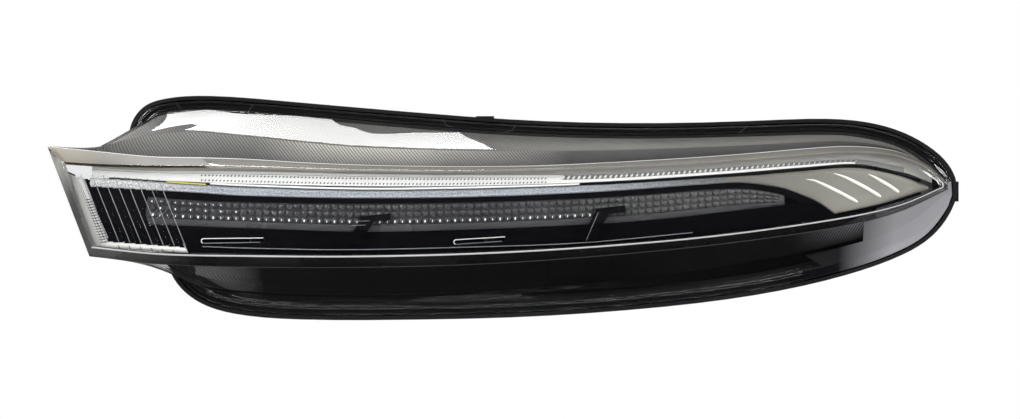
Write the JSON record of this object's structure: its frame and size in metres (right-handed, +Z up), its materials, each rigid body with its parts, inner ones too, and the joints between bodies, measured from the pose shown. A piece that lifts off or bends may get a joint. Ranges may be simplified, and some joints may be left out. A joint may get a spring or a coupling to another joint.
{
  "type": "car front position lamp",
  "caption": "Long clear-lensed car position lamp: a pointed raised blade over a light guide, prism band and silver wing, in a black housing with rear pins, bosses and inlet.",
  "frame": {"origin": "root of the main locating pin, on the plane where the rear bosses meet the car", "axes": "+X along the lamp to its pointed outboard end, +Y backwards along the locating pins, +Z up; light leaves towards -Y"},
  "size_m": [0.4495, 0.1247, 0.1122],
  "materials": {
    "clear_lens": "clear moulded polycarbonate, gloss",
    "clear_optic": "clear moulded acrylic, gloss",
    "black_housing": "moulded black, fine grain",
    "sealant": "black sealing bead",
    "black_gloss": "piano black with faint diagonal grain",
    "satin_grey": "satin metallised grey with fine diagonal lines",
    "silver_trim": "metallised satin silver",
    "reflector": "metallised bright",
    "flex_board": "white solder mask",
    "circuit_board": "green solder mask",
    "led": "yellow phosphor under clear resin",
    "heat_sink": "bare cast",
    "screw_steel": "zinc plated",
    "component": "moulded dark grey",
    "inlet": "moulded dark grey",
    "gasket": "soft black",
    "terminal": "tinned",
    "vent_rubber": "soft black"
  },
  "bodies": {
    "root": {"outer_lens": "clear_lens", "lens_seal": "sealant", "housing": "black_housing", "upper_screen": "satin_grey", "lower_screen": "black_gloss", "tip_screen": "satin_grey", "left_screen": "satin_grey", "main_bezel": "black_gloss", "silver_trim": "silver_trim", "light_guide": "clear_optic", "inner_optic": "clear_optic", "fluted_optic": "clear_optic", "optic_reflector": "reflector", "led_board": "flex_board", "leds": "led", "heat_sink": "heat_sink", "sink_screws": "screw_steel", "board_screws": "screw_steel", "driver_board": "circuit_board", "driver_parts": "component", "connector_socket": "inlet", "socket_seal": "gasket", "terminal_pins": "terminal", "vent_cap": "vent_rubber", "guide_board": "circuit_board", "guide_led": "led"}
  },
  "joints": []
}
